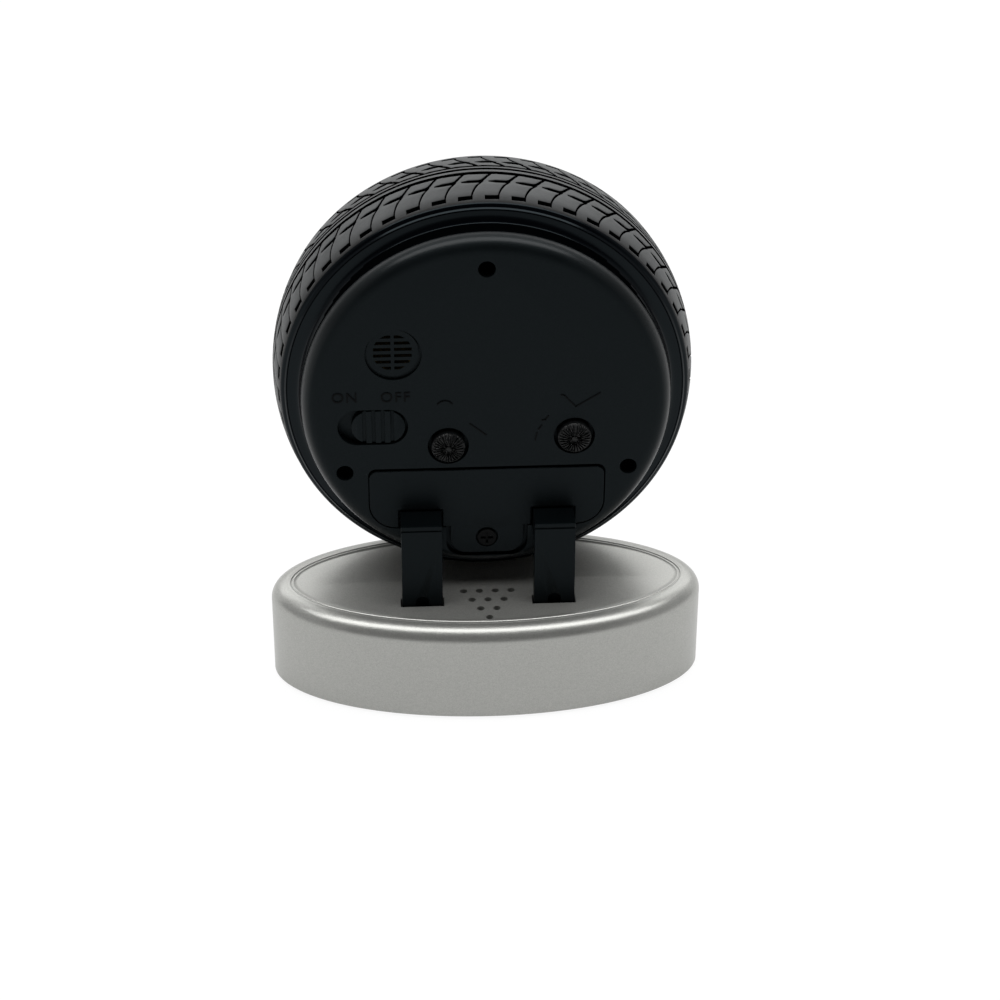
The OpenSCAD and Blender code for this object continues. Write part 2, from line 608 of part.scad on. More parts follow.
module rotor() color(steel) in_head() at(rotor_c) {
  gear(pin_z, m_rotor, mesh(inter_z, 0, rotor_a, pin_z), w0 + 12.7, w0 + 14.1);
  rod(2.5, w0 + 14.4, w0 + 15.9);
  rod(arbor_r, mid_w + 0.2, rear_w + 1.2);
}
module intermediate_wheel() color(cream) in_head() at(inter_c) {
  gear(pin_z, m_run, mesh(second_z, 0, inter_a, pin_z), w0 + 11.1, w0 + 12.9);
  gear(inter_z, m_rotor, 0, w0 + 12.9, w0 + 13.9);
  rod(arbor_r, mid_w + 0.2, rear_w + 1.2);
}
module second_wheel() color(cream) in_head() {
  gear(pin_z, m_third, 0, w0 + 9.5, w0 + 11.3);
  gear(second_z, m_run, 0, w0 + 11.3, w0 + 12.3);
  rod(arbor_r, second_hand_w - 0.1, rear_w + 1.2);
}
module third_wheel() color(cream) in_head() at(third_c) {
  gear(third_z, m_third, mesh(pin_z, 0, third_a, third_z), w0 + 9.7, w0 + 10.7);
  gear(pin_z, m_centre, 0, w0 + 6.5, w0 + 7.9);
  rod(arbor_r, w0 + 0.2, rear_w + 1.2);
}
module centre_wheel() color(brass) in_head()
  gear(centre_z, m_centre, mesh(pin_z, 0, third_a + 180, centre_z), w0 + 6.7, w0 + 7.7, cannon_r + run_gap);
module cannon_pinion() color(brass) in_head() difference() {
  union() {
    gear(cannon_z, m_set, 0, w0 + 4.9, w0 + 6.4);
    rod(cannon_r, minute_hand_w - 0.1, w0 + 8);
  }
  rod(arbor_r + run_gap, minute_hand_w - 1, w0 + 9);
}
motion_ph = mesh(cannon_z, 0, time_a, motion_z);
module motion_wheel() color(cream) in_head() at(motion_c) {
  gear(motion_z, m_set, motion_ph, w0 + 5.1, w0 + 6.1, 0.8 + run_gap);
  gear(motion_pin_z, m_hour, 0, w0 + 3.1, w0 + 5.1, 0.8 + run_gap);
}
module hour_wheel() color(cream) in_head() difference() {
  union() {
    gear(hour_z, m_hour, mesh(motion_pin_z, 0, time_a + 180, hour_z), w0 + 3.3, w0 + 4.3);
    rod(hour_tube_r, hour_hand_w - 0.1, w0 + 4);
  }
  rod(cannon_r + run_gap, hour_hand_w - 1, w0 + 6);
}
module alarm_wheel() color(cream) in_head() difference() {
  union() {
    gear(alarm_z, m_alarm, mesh(alarm_set_z, 0, alarm_a, alarm_z), w0 + 1.8, w0 + 2.8);
    rod(alarm_tube_r, alarm_hand_w - 0.1, w0 + 2.5);
  }
  rod(hour_tube_r + run_gap, alarm_hand_w - 1, w0 + 4);
}
module alarm_arbor() color(cream) in_head() at(alarm_c) {
  gear(alarm_set_z, m_alarm, 0, w0 + 1.6, w0 + 2.9);
  rod(shaft_r, w0 + 0.2, cover_w);
}
module time_arbor() color(cream) in_head() at(time_c) {
  gear(time_z, m_set, mesh(motion_z, motion_ph, time_a, time_z), w0 + 4.9, w0 + 6.3);
  rod(shaft_r, w0 + 0.2, cover_w);
}
// ribbed setting knob, its face domed in three cones
module knob() difference() {
  rotate_extrude() polygon([[shaft_r + 0.05, inner_w - 0.9], [knob_d / 2, inner_w - 0.9], [knob_d / 2, cover_w + 0.9],
    [knob_d / 2 - 0.5, cover_w + 1.4], [knob_d / 2 - 1.6, cover_w + 1.75], [0, cover_w + 1.9], [0, cover_w + 0.1],
    [shaft_r + 0.05, cover_w + 0.1]]);
  for (i = [0:knob_ribs - 1]) rotate(360 * i / knob_ribs) box(0.7, knob_d, -0.16, 0.16, cover_w + 1.15, cover_w + 3);
}
module alarm_knob() color(black) in_head() at(alarm_c) knob();
module time_knob() color(black) in_head() at(time_c) knob();

// a hand with its boss on a tube of radius r, drawn towards angle a
module hand(r, boss, len, wide, tail, a, from) plate(from, from + hand_t) difference() {
  union() {
    circle(boss);
    rotate(a) polygon([[-tail, wide * 0.4], [-tail, -wide * 0.4], [0, -wide / 2], [len * 0.8, -wide * 0.42],
      [len, 0], [len * 0.8, wide * 0.42], [0, wide / 2]]);
  }
  circle(r);
}
module alarm_hand() color([0.85, 0.2, 0.15]) in_head()
  hand(alarm_tube_r + 0.03, 4.4, 17, 1.4, 0, 90, alarm_hand_w);
module hour_hand() color(cream) in_head() hand(hour_tube_r + 0.03, 3.5, hour_len, 3, 6, 145, hour_hand_w);
module minute_hand() color(cream) in_head() hand(cannon_r + 0.03, 2.6, minute_len, 2.2, 7, 30, minute_hand_w);
module second_hand() color([0.85, 0.2, 0.15]) in_head() hand(arbor_r + 0.03, 1.6, 32, 0.8, 9, 240, second_hand_w);

base_shell();
base_plate();
base_pad();
base_screws();
speaker_frame();
speaker_cone();
speaker_magnet();
sound_board();
left_arm();
right_arm();
arm_screws();
tyre();
front_case();
rear_cover();
cover_screws();
bezel();
lens();
dial();
front_plate();
middle_plate();
rear_plate();
plate_screws();
ear_screws();
stator();
coil();
circuit_board();
quartz_crystal();
buzzer();
switch_body();
switch_slider();
battery();
battery_contact();
battery_spring();
battery_door();
door_screw();
rotor();
intermediate_wheel();
second_wheel();
second_hand();
third_wheel();
centre_wheel();
cannon_pinion();
minute_hand();
motion_wheel();
hour_wheel();
hour_hand();
alarm_wheel();
alarm_hand();
alarm_arbor();
alarm_knob();
time_arbor();
time_knob();
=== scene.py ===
import bpy
import bmesh
import math
from mathutils import Matrix, Vector


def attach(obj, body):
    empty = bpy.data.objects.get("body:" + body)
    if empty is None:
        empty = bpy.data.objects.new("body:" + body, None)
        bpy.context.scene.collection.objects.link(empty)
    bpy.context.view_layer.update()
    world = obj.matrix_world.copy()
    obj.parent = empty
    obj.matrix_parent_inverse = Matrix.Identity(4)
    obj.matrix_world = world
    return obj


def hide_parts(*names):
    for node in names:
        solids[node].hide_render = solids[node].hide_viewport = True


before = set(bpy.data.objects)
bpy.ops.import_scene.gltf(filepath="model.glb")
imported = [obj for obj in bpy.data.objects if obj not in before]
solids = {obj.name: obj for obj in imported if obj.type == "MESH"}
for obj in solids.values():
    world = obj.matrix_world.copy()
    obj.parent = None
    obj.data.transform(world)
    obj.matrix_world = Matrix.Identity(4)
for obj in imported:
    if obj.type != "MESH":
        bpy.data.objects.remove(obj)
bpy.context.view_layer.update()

mm = 0.001
scene = bpy.context.scene

# the head's own axes in millimetres: u to the right seen from behind, v up, w to the rear
headPlace = {"tyreY": -15.7, "headZ": 75.2, "coverW": 20.2}
headFrame = Matrix(((-mm, 0, 0, 0),
                    (0, 0, mm, headPlace["tyreY"] * mm),
                    (0, mm, 0, headPlace["headZ"] * mm),
                    (0, 0, 0, 1)))
worldFrame = Matrix.Diagonal((mm, mm, mm, 1))

# camera where the photograph was taken
cameraView = {"target": (0, 0, 60), "distance": 600, "elevation": 30, "yaw": 2.9,
              "lens": 89.9, "sensor": 36, "nearest": 0.01, "shiftX": 0.014, "shiftY": -0.0455}
camData = bpy.data.cameras.new("photoCamera")
cam = bpy.data.objects.new("photoCamera", camData)
scene.collection.objects.link(cam)
elev = math.radians(cameraView["elevation"])
yaw = math.radians(cameraView["yaw"])
away = Vector((math.sin(yaw) * math.cos(elev), math.cos(yaw) * math.cos(elev), math.sin(elev)))
cam.location = (Vector(cameraView["target"]) + away * cameraView["distance"]) * mm
cam.rotation_euler = (-away).to_track_quat("-Z", "Y").to_euler()
camData.lens = cameraView["lens"]
camData.sensor_width = cameraView["sensor"]
camData.shift_x = cameraView["shiftX"]
camData.shift_y = cameraView["shiftY"]
camData.clip_start = cameraView["nearest"]
scene.camera = cam
scene.view_settings.view_transform = "Standard"
print("camera set")

# shader node groups


def newGroup(name, inputs, outputs):
    group = bpy.data.node_groups.new(name, "ShaderNodeTree")
    for label, value in inputs:
        sock = group.interface.new_socket(label, in_out="INPUT", socket_type="NodeSocketFloat")
        sock.default_value = value
    for label in outputs:
        group.interface.new_socket(label, in_out="OUTPUT", socket_type="NodeSocketFloat")
    return group, group.nodes.new("NodeGroupInput"), group.nodes.new("NodeGroupOutput")


def mouldedGrainGroup():
    # surface of a spark-eroded mould: one noise for the fine grain, one for the slow change of tone
    sizes = [("Grain size", 2600.0), ("Tone size", 90.0)]
    group, ins, outs = newGroup("mouldedGrain", sizes, ["Height", "Tone"])
    nodes, links = group.nodes, group.links
    coord = nodes.new("ShaderNodeTexCoord")
    fine = nodes.new("ShaderNodeTexNoise")
    fine.inputs["Detail"].default_value = 3
    fine.inputs["Roughness"].default_value = 0.7
    slow = nodes.new("ShaderNodeTexNoise")
    slow.inputs["Detail"].default_value = 4
    links.new(coord.outputs["Object"], fine.inputs["Vector"])
    links.new(coord.outputs["Object"], slow.inputs["Vector"])
    links.new(ins.outputs["Grain size"], fine.inputs["Scale"])
    links.new(ins.outputs["Tone size"], slow.inputs["Scale"])
    links.new(fine.outputs["Fac"], outs.inputs["Height"])
    links.new(slow.outputs["Fac"], outs.inputs["Tone"])
    return group


def metalFleckGroup():
    # small flakes in a clear binder: each cell has its own brightness and tilt
    group, ins, outs = newGroup("metalFleck", [("Flake size", 3400.0)], ["Flake", "Height"])
    nodes, links = group.nodes, group.links
    coord = nodes.new("ShaderNodeTexCoord")
    cells = nodes.new("ShaderNodeTexVoronoi")
    split = nodes.new("ShaderNodeSeparateColor")
    links.new(coord.outputs["Object"], cells.inputs["Vector"])
    links.new(ins.outputs["Flake size"], cells.inputs["Scale"])
    links.new(cells.outputs["Color"], split.inputs["Color"])
    links.new(split.outputs["Red"], outs.inputs["Flake"])
    links.new(split.outputs["Green"], outs.inputs["Height"])
    return group


def radiusMaskGroup():
    # value that runs from low to high between two distances from the head's axis
    limits = [("From", 0.0), ("To", 1.0), ("Low", 0.0), ("High", 1.0)]
    group, ins, outs = newGroup("radiusMask", limits, ["Mask"])
    nodes, links = group.nodes, group.links
    coord = nodes.new("ShaderNodeTexCoord")
    shift = nodes.new("ShaderNodeVectorMath")
    shift.operation = "SUBTRACT"
    shift.inputs[1].default_value = (0, 0, headPlace["headZ"] * mm)
    flat = nodes.new("ShaderNodeVectorMath")
    flat.operation = "MULTIPLY"
    flat.inputs[1].default_value = (1, 0, 1)
    far = nodes.new("ShaderNodeVectorMath")
    far.operation = "LENGTH"
    mask = nodes.new("ShaderNodeMapRange")
    links.new(coord.outputs["Object"], shift.inputs[0])
    links.new(shift.outputs["Vector"], flat.inputs[0])
    links.new(flat.outputs["Vector"], far.inputs[0])
    links.new(far.outputs["Value"], mask.inputs["Value"])
    for (label, _), socket in zip(limits, ("From Min", "From Max", "To Min", "To Max")):
        links.new(ins.outputs[label], mask.inputs[socket])
    links.new(mask.outputs["Result"], outs.inputs["Mask"])
    return group


mouldedGrain = mouldedGrainGroup()
metalFleck = metalFleckGroup()
radiusMask = radiusMaskGroup()

# materials: limits are shares of a group's output, depths are in metres
grainSpec = {"toneLimits": (0.3, 0.7), "roughLimits": (0.25, 0.75), "depth": 0.0001}
fleckSpec = {"toneLimits": (0.0, 1.0), "roughLimits": (0.25, 0.75), "depth": 0.00005}
lensSpec = {"colour": (0.96, 0.98, 0.99, 1), "rough": 0.03, "index": 1.49,
            "grainSize": 300, "bump": 0.003, "depth": 0.00005}


def newMaterial(name, rough, metal, specular):
    mat = bpy.data.materials.new(name)
    mat.use_nodes = True
    shader = mat.node_tree.nodes["Principled BSDF"]
    shader.inputs["Roughness"].default_value = rough
    shader.inputs["Metallic"].default_value = metal
    shader.inputs["Specular IOR Level"].default_value = specular
    return mat, mat.node_tree.nodes, mat.node_tree.links, shader


def placeGroup(nodes, group, values):
    node = nodes.new("ShaderNodeGroup")
    node.node_tree = group
    for label, value in values.items():
        node.inputs[label].default_value = value
    return node


def toneRamp(nodes, dark, light, limits):
    node = nodes.new("ShaderNodeValToRGB")
    for element, place, colour in zip(node.color_ramp.elements, limits, (dark, light)):
        element.position = place
        element.color = (*colour, 1)
    return node


def mapBetween(nodes, links, source, limits, levels, smooth=False):
    node = nodes.new("ShaderNodeMapRange")
    if smooth:
        node.interpolation_type = "SMOOTHSTEP"
    for label, value in zip(("From Min", "From Max", "To Min", "To Max"), (*limits, *levels)):
        node.inputs[label].default_value = value
    links.new(source, node.inputs["Value"])
    return node.outputs["Result"]


def liftBy(nodes, links, shader, height, strength, depth):
    lift = nodes.new("ShaderNodeBump")
    lift.inputs["Strength"].default_value = strength
    lift.inputs["Distance"].default_value = depth
    links.new(height, lift.inputs["Height"])
    links.new(lift.outputs["Normal"], shader.inputs["Normal"])


def grainMaterial(name, dark, light, rough, grainSize, bump, specular, toneSize=90.0, metal=0.0):
    mat, nodes, links, shader = newMaterial(name, rough[0], metal, specular)
    grain = placeGroup(nodes, mouldedGrain, {"Grain size": grainSize, "Tone size": toneSize})
    tint = toneRamp(nodes, dark, light, grainSpec["toneLimits"])
    links.new(grain.outputs["Tone"], tint.inputs["Fac"])
    links.new(tint.outputs["Color"], shader.inputs["Base Color"])
    sheen = mapBetween(nodes, links, grain.outputs["Tone"], grainSpec["roughLimits"], rough)
    links.new(sheen, shader.inputs["Roughness"])
    liftBy(nodes, links, shader, grain.outputs["Height"], bump, grainSpec["depth"])
    return mat


def fleckMaterial(name, dark, light, rough, flakeSize, metal, bump):
    mat, nodes, links, shader = newMaterial(name, rough[0], metal, 0.5)
    fleck = placeGroup(nodes, metalFleck, {"Flake size": flakeSize})
    tint = toneRamp(nodes, dark, light, fleckSpec["toneLimits"])
    links.new(fleck.outputs["Flake"], tint.inputs["Fac"])
    links.new(tint.outputs["Color"], shader.inputs["Base Color"])
    sheen = mapBetween(nodes, links, fleck.outputs["Flake"], fleckSpec["roughLimits"], rough)
    links.new(sheen, shader.inputs["Roughness"])
    liftBy(nodes, links, shader, fleck.outputs["Height"], bump, fleckSpec["depth"])
    return mat


def clearMaterial():
    mat, nodes, links, shader = newMaterial("clearLens", lensSpec["rough"], 0.0, 0.5)
    shader.inputs["Base Color"].default_value = lensSpec["colour"]
    shader.inputs["Transmission Weight"].default_value = 1.0
    shader.inputs["IOR"].default_value = lensSpec["index"]
    grain = placeGroup(nodes, mouldedGrain, {"Grain size": lensSpec["grainSize"]})
    liftBy(nodes, links, shader, grain.outputs["Height"], lensSpec["bump"], lensSpec["depth"])
    return mat


# black plastics and rubbers
coverFinish = {"dark": (0.0016, 0.0024, 0.0028), "light": (0.0024, 0.0034, 0.0039), "rough": (0.4, 0.48),
               "grainSize": 3000, "bump": 0.3, "specular": 0.12}
coverBlack = grainMaterial("coverBlack", **coverFinish)
coverShell = grainMaterial("coverShell", **coverFinish)
armBlack = grainMaterial("armBlack", (0.0012, 0.002, 0.0024), (0.0018, 0.0027, 0.0032),
                         rough=(0.36, 0.44), grainSize=3000, bump=0.25, specular=0.105)
markBlack = grainMaterial("markBlack", (0.001, 0.0014, 0.0016), (0.0014, 0.0019, 0.0022),
                          rough=(0.4, 0.5), grainSize=3000, bump=0.1, specular=0.06)
knobBlack = grainMaterial("knobBlack", (0.003, 0.0035, 0.0038), (0.005, 0.0056, 0.006),
                          rough=(0.26, 0.34), grainSize=2400, bump=0.15, specular=0.2)
treadBlack = grainMaterial("treadBlack", (0.046, 0.0488, 0.05), (0.07, 0.073, 0.0742),
                           rough=(0.42, 0.54), grainSize=1500, bump=0.7, specular=0.16, toneSize=140)
# painted shade: a near-black without reflection, put on groove floors, the slit behind the cover, the
# cover's side and the screws sunk in the cover
paintedShadeBlack = grainMaterial("paintedShadeBlack", (0.0004, 0.0006, 0.0008), (0.0008, 0.001, 0.0012),
                            rough=(0.7, 0.8), grainSize=1600, bump=0.1, specular=0.0)
# the tyre's wall: black rubber painted darker and bluer than the rubber, as painted shade and a painted
# bluish reflection
sidewallShadeAndBlueSheen = grainMaterial("sidewallShadeAndBlueSheen", (0.0004, 0.0006, 0.0013), (0.0007, 0.001, 0.0018),
                              rough=(0.17, 0.21), grainSize=1200, bump=0.04, specular=0.15, toneSize=60)
foamBlack = grainMaterial("foamBlack", (0.02, 0.02, 0.02), (0.035, 0.035, 0.035),
                          rough=(0.8, 0.95), grainSize=1200, bump=0.8, specular=0.2)
conePaper = grainMaterial("conePaper", (0.002, 0.002, 0.002), (0.004, 0.004, 0.004),
                          rough=(0.8, 0.95), grainSize=1400, bump=0.6, specular=0.04)
dialBlack = grainMaterial("dialBlack", (0.008, 0.008, 0.009), (0.012, 0.012, 0.013),
                          rough=(0.55, 0.7), grainSize=2600, bump=0.2, specular=0.25)

# metallic paints and metals
silverPaint = fleckMaterial("silverPaint", (0.348, 0.35, 0.333), (0.432, 0.434, 0.413),
                            rough=(0.28, 0.35), flakeSize=5200, metal=0.68, bump=0.1)
bezelSilver = fleckMaterial("bezelSilver", (0.42, 0.425, 0.43), (0.6, 0.605, 0.61),
                            rough=(0.22, 0.32), flakeSize=5200, metal=0.8, bump=0.12)
screwSteel = grainMaterial("screwSteel", (0.3, 0.3, 0.31), (0.45, 0.45, 0.46), rough=(0.3, 0.45),
                           grainSize=2400, bump=0.2, specular=0.5, toneSize=400, metal=0.9)
darkScrew = grainMaterial("darkScrew", (0.0012, 0.0015, 0.0017), (0.002, 0.0024, 0.0027),
                          rough=(0.3, 0.42), grainSize=2400, bump=0.2, specular=0.06, toneSize=400)
turnedBrass = grainMaterial("turnedBrass", (0.55, 0.38, 0.13), (0.68, 0.5, 0.2), rough=(0.25, 0.4),
                            grainSize=1500, bump=0.1, specular=0.5, toneSize=300, metal=1.0)
windingCopper = grainMaterial("windingCopper", (0.4, 0.14, 0.05), (0.56, 0.22, 0.08), rough=(0.3, 0.45),
                              grainSize=2600, bump=0.4, specular=0.5, toneSize=700, metal=0.8)

# coloured pieces
gearCream = grainMaterial("gearCream", (0.62, 0.58, 0.48), (0.72, 0.69, 0.6),
                          rough=(0.4, 0.5), grainSize=1800, bump=0.1, specular=0.4)
boardGreen = grainMaterial("boardGreen", (0.02, 0.11, 0.05), (0.035, 0.16, 0.075),
                           rough=(0.3, 0.4), grainSize=900, bump=0.1, specular=0.5, toneSize=500)
cellSleeve = grainMaterial("cellSleeve", (0.28, 0.03, 0.02), (0.36, 0.045, 0.03),
                           rough=(0.25, 0.35), grainSize=800, bump=0.05, specular=0.5)
handWhite = grainMaterial("handWhite", (0.74, 0.73, 0.7), (0.8, 0.79, 0.77),
                          rough=(0.35, 0.45), grainSize=1800, bump=0.06, specular=0.45)
handRed = grainMaterial("handRed", (0.48, 0.03, 0.02), (0.58, 0.045, 0.03),
                        rough=(0.35, 0.45), grainSize=1800, bump=0.06, specular=0.45)
printWhite = grainMaterial("printWhite", (0.72, 0.72, 0.7), (0.8, 0.8, 0.78),
                           rough=(0.5, 0.6), grainSize=1500, bump=0.05, specular=0.3)
clearLens = clearMaterial()

# the rim of the cover is smoother than its face, the tops of the tread blocks are smoother than the
# shoulder, and the shoulder is painted darker as painted shade
sheenAndShadeSpec = {"rimRadii": (41.6, 43.0), "rimCoat": (0.0, 0.28), "rimRough": 0.25,
             "treadRadii": (49.1, 50.0), "treadCoat": (0.0, 0.12), "treadRough": 0.3,
             "shadeRadii": (48.8, 49.8), "shade": (0.12, 1.0), "coolTint": (0.74, 0.92, 1.0, 1)}


def maskOn(mat, radii, levels):
    values = {"From": radii[0] * mm, "To": radii[1] * mm, "Low": levels[0], "High": levels[1]}
    return placeGroup(mat.node_tree.nodes, radiusMask, values).outputs["Mask"]


def polishBy(mat, radii, coat, coatRough):
    shader = mat.node_tree.nodes["Principled BSDF"]
    mat.node_tree.links.new(maskOn(mat, radii, coat), shader.inputs["Coat Weight"])
    shader.inputs["Coat Roughness"].default_value = coatRough


# painted shade: the material's colour is multiplied by a mask that darkens it nearer the head's axis
def shadeBy(mat, radii, levels):
    nodes, links = mat.node_tree.nodes, mat.node_tree.links
    shader = nodes["Principled BSDF"]
    tone = shader.inputs["Base Color"].links[0].from_socket
    mix = nodes.new("ShaderNodeMix")
    mix.data_type = "RGBA"
    mix.blend_type = "MULTIPLY"
    mix.inputs[0].default_value = 1.0
    links.new(tone, mix.inputs[6])  # 6 and 7 are the two colours of a mix, and 2 is the one that it puts out
    links.new(maskOn(mat, radii, levels), mix.inputs[7])
    links.new(mix.outputs[2], shader.inputs["Base Color"])


polishBy(coverShell, sheenAndShadeSpec["rimRadii"], sheenAndShadeSpec["rimCoat"], sheenAndShadeSpec["rimRough"])
polishBy(treadBlack, sheenAndShadeSpec["treadRadii"], sheenAndShadeSpec["treadCoat"], sheenAndShadeSpec["treadRough"])
# painted shade on the tread's shoulder
shadeBy(treadBlack, sheenAndShadeSpec["shadeRadii"], sheenAndShadeSpec["shade"])
# black mouldings reflect a little bluer than grey
for mat in (coverBlack, coverShell, armBlack, sidewallShadeAndBlueSheen):
    mat.node_tree.nodes["Principled BSDF"].inputs["Specular Tint"].default_value = sheenAndShadeSpec["coolTint"]
print("materials ready")

# helpers for pieces; points closer than a merge distance become one
mergeSpec = {"drawn": 1e-4, "axis": 1e-3, "tread": 2e-3, "solid": 2e-6, "flatAngle": 0.8}


def smoothBy(mesh, sharp):
    for poly in mesh.polygons:
        poly.use_smooth = True
    mesh.set_sharp_from_angle(angle=math.radians(sharp))


def addPiece(name, bm, mat, body, replaced=(), place=headFrame, sharp=30, recalc=True):
    bmesh.ops.transform(bm, matrix=place, verts=bm.verts[:])
    if recalc:
        bmesh.ops.recalc_face_normals(bm, faces=bm.faces[:])
        if bm.calc_volume(signed=True) < 0:
            bmesh.ops.reverse_faces(bm, faces=bm.faces[:])
    mesh = bpy.data.meshes.new(name)
    bm.to_mesh(mesh)
    bm.free()
    mesh.materials.append(mat)
    obj = bpy.data.objects.new(name, mesh)
    scene.collection.objects.link(obj)
    smoothBy(mesh, sharp)
    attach(obj, body)
    if replaced:
        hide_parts(*replaced)
    return obj


def spinProfile(points, steps, closed=True):
    # section of (radius, height) points carried once round the axis
    bm = bmesh.new()
    verts = [bm.verts.new((r, 0, w)) for r, w in points]
    pairs = list(zip(verts, verts[1:])) + ([(verts[-1], verts[0])] if closed else [])
    edges = [bm.edges.new(pair) for pair in pairs]
    bmesh.ops.spin(bm, geom=verts + edges, cent=(0, 0, 0), axis=(0, 0, 1), angle=math.tau,
                   steps=steps, use_merge=True)
    bmesh.ops.remove_doubles(bm, verts=bm.verts[:], dist=mergeSpec["drawn"])
    bmesh.ops.delete(bm, geom=[e for e in bm.edges if not e.link_faces], context="EDGES")
    return bm


def arcPoints(centre, radius, start, end, count):
    points = []
    for i in range(count + 1):
        turn = math.radians(start + (end - start) * i / count)
        points.append((centre[0] + radius * math.cos(turn), centre[1] + radius * math.sin(turn)))
    return points


def softCopy(name, node, mat, body, width, segments=2, sharp=32, reshape=None):
    # the solid's own shape with its edges broken, as a moulding has them
    bm = bmesh.new()
    bm.from_mesh(solids[node].data)
    bmesh.ops.transform(bm, matrix=solids[node].matrix_world, verts=bm.verts[:])
    bmesh.ops.remove_doubles(bm, verts=bm.verts[:], dist=mergeSpec["solid"])
    flatAngle = math.radians(mergeSpec["flatAngle"])
    bmesh.ops.dissolve_limit(bm, angle_limit=flatAngle, verts=bm.verts[:], edges=bm.edges[:])
    if reshape:
        reshape(bm)
    obj = addPiece(name, bm, mat, body, (node,), Matrix.Identity(4), sharp, False)
    bev = obj.modifiers.new("brokenEdges", "BEVEL")
    bev.width = width * mm
    bev.segments = segments
    bev.limit_method = "ANGLE"
    bev.angle_limit = math.radians(sharp)
    bev.harden_normals = True
    return obj


# tyre: walls spun round the axis, and a tread grid whose groove cells are sunk
tyreSpec = {"radius": 50.9, "half": 15.0, "crown": 1.04, "crownAt": 10, "middle": -3.6,
            "rearTread": 14.4, "frontTread": 9.9, "pitches": 50, "depth": 1.3, "rim": 0.13,
            "bore": 42.2, "boreEdge": (0.4, 0.3), "wallEdge": 44.4, "wallEnd": 12.7,
            "slitSteps": 8, "slitStep": 0.15, "slitShade": (0.8, 0.5)}
# grooves between the blocks: four lanes in each pitch, swept back towards the middle
grooveSpec = {"lanes": 4, "dashLength": 3.5, "bridge": 1.2,
              "sweep": 5.0, "sweepFrom": 0.85, "sweepOver": 0.68, "sweepPower": 1.6,
              "sipe": 0.437, "sipeOpen": (0.62, 0.2, 0.22, 0.6), "plainFrom": 0.14,
              "rearOpen": 1.0, "frontOpen": 1.5}
# rows of the tread from the shoulder to the middle: share of the half width, width of the cross groove there
treadRows = ((1.0, 0.3), (0.925, 0.34), (0.82, 0.36), (0.74, 0.42), (0.65, 0.52), (0.55, 0.66),
             (grooveSpec["sipe"], 0.95), (grooveSpec["sipe"], 1.0), (0.37, 0.95), (0.3, 0.9), (0.24, 0.8),
             (0.21, 0.7), (0.115, 0.4), (0.045, 0.4), (0.0, 0.4))
treadCells = {"dash": 1, "grooveFrom": 2, "grooveTo": 11, "sipe": 6, "ring": 11, "middle": 13}
tyrePaint = {"tread": 0, "groove": 1, "wall": 2}
# shoulder and wall with a bead line, as (radius, w)
wallSpec = {"rear": ((48.5, 11.08), (48.2, 11.28), (47.9, 11.36), (47.75, 11.45), (47.62, 11.75),
                     (47.45, 11.9), (47.25, 11.88), (47.12, 11.75), (46.9, 11.8), (46.2, 11.92),
                     (45.4, 12.12), (44.8, 12.36)),
            "front": ((49.3, -14.1), (48.8, -14.45), (48.2, -14.6), (47.6, -14.6), (47.45, -14.85),
                      (47.15, -14.85), (47.0, -14.6), (46.0, -14.85))}


def crownRadius(w):
    return tyreSpec["radius"] - tyreSpec["crown"] * ((w - tyreSpec["middle"]) / tyreSpec["crownAt"]) ** 2


def treadPoint(column, row, pitch, half, wide):
    # place along the tread and across it of one grid point, before bending
    spec = grooveSpec
    share, width = treadRows[row]
    width *= wide
    turn, lane = divmod(column, spec["lanes"])
    swept = min(1.0, max(0.0, (spec["sweepFrom"] - share) / spec["sweepOver"]))
    lead = spec["sweep"] * swept ** spec["sweepPower"]
    lanes = (0.0, width, width + spec["bridge"], pitch - spec["dashLength"] + width)
    plain = row == 0 or share < spec["plainFrom"]
    along = lead + turn * pitch + (lane * pitch / spec["lanes"] if plain else lanes[lane])
    across = share * half
    if share == spec["sipe"]:
        across += wide * spec["sipeOpen"][lane] * (1 if row == treadCells["sipe"] else -1)
    return along, across


def isSunk(lane, row):
    cells = treadCells
    if row == cells["dash"]:
        return lane in (0, 3)
    if row in (cells["ring"], cells["middle"]):
        return True
    if row == cells["sipe"]:
        return lane != 1
    return lane == 0 and cells["grooveFrom"] <= row < cells["grooveTo"]


def treadHalf(front):
    spec, lanes = tyreSpec, grooveSpec["lanes"]
    pitch = math.tau * spec["radius"] / spec["pitches"]
    columns, rows = lanes * spec["pitches"], len(treadRows) - 1
    half = spec["frontTread"] if front else spec["rearTread"]
    wide = grooveSpec["frontOpen"] if front else grooveSpec["rearOpen"]
    bm = bmesh.new()
    bmesh.ops.create_grid(bm, x_segments=columns, y_segments=rows, size=0.5)
    for face in bm.faces:
        mid = face.calc_center_median()
        sunk = isSunk(int((mid.x + 0.5) * columns) % lanes, int((mid.y + 0.5) * rows))
        face.material_index = tyrePaint["groove"] if sunk else tyrePaint["tread"]
    for v in bm.verts:
        column, row = round((v.co.x + 0.5) * columns), round((v.co.y + 0.5) * rows)
        along, across = treadPoint(column, row, pitch, half, wide)
        turn = -(along + (pitch / 2 if front else 0.0)) / spec["radius"]
        w = spec["middle"] + (-across if front else across)
        r = crownRadius(w)
        v.co = (r * math.cos(turn), r * math.sin(turn), w)
    return bm


